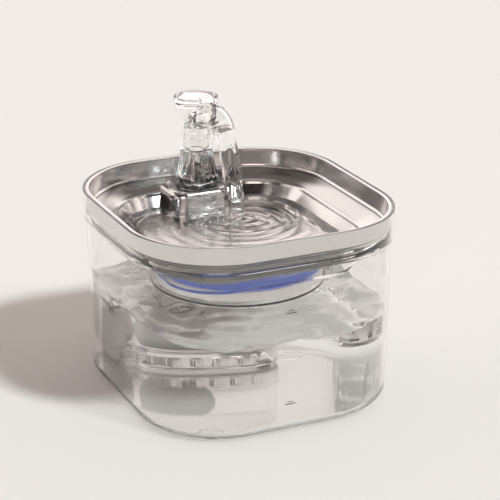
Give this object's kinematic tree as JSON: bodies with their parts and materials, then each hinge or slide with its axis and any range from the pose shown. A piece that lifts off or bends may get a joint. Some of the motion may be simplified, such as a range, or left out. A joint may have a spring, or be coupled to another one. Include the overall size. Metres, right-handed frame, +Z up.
{
  "type": "pet water fountain",
  "caption": "Clear rounded-square water fountain for pets with a steel drinking tray, a swivelling clear faucet, a round filter basket and a submersible pump.",
  "frame": {"origin": "on the table under the middle of the tank", "axes": "+Z up, +Y to the back where the faucet stands, +X to the right seen from the front"},
  "size_m": [0.19, 0.2026, 0.1925],
  "materials": {
    "clear_plastic": "clear, glossy",
    "clear_acrylic_faucet": "clear, polished",
    "clear_silicone": "soft clear",
    "steel": "fine satin to bright",
    "blue_foam": "open cell",
    "cotton": "matte fibre",
    "carbon": "granules",
    "pump_plastic": "fine matte",
    "impeller_plastic": "fine matte",
    "core_steel": "stacked plates",
    "copper": "enamelled wire",
    "potting": "cast resin",
    "ferrite": "sintered",
    "ceramic": "polished ceramic",
    "black_rubber": "matte"
  },
  "bodies": {
    "tank": {"tank": "clear_plastic", "tank_feet": "clear_silicone", "suction_cups": "clear_silicone", "pump_base": "clear_plastic", "pump_cover": "clear_plastic", "pump_body": "pump_plastic", "stator_core": "core_steel", "stator_coil": "copper", "potting_plug": "potting", "pump_shaft": "ceramic", "shaft_bushes": "black_rubber", "impeller_cover": "pump_plastic", "cable_gland": "black_rubber", "riser_tube": "clear_silicone"},
    "rotor": {"rotor_magnet": "ferrite", "impeller": "impeller_plastic"},
    "support": {"support_tray": "clear_plastic", "filter_basket": "clear_plastic"},
    "filter": {"white_cotton": "cotton", "carbon_pad": "carbon", "blue_sponge": "blue_foam"},
    "tray": {"drinking_tray": "steel", "faucet_stem": "clear_acrylic_faucet", "stem_gasket": "clear_silicone", "faucet_nut": "clear_plastic", "spout_seal": "clear_silicone"},
    "spout": {"faucet_spout": "clear_acrylic_faucet"}
  },
  "joints": [
    {"name": "impeller_spin", "type": "hinge", "parent": "tank", "child": "rotor", "pos_m": [0, 0.07, 0.028], "axis": [1, 0, 0], "continuous": true},
    {"name": "support_lift", "type": "slide", "parent": "tank", "child": "support", "axis": [0, 0, 1], "range_m": [0, 0.12]},
    {"name": "filter_lift", "type": "slide", "parent": "support", "child": "filter", "axis": [0, 0, 1], "range_m": [0, 0.04]},
    {"name": "tray_lift", "type": "slide", "parent": "filter", "child": "tray", "axis": [0, 0, 1], "range_m": [0, 0.08]},
    {"name": "spout_swivel", "type": "hinge", "parent": "tray", "child": "spout", "pos_m": [0, 0.07, 0.15], "axis": [0, 0, 1], "range_deg": [-93, 57]}
  ]
}
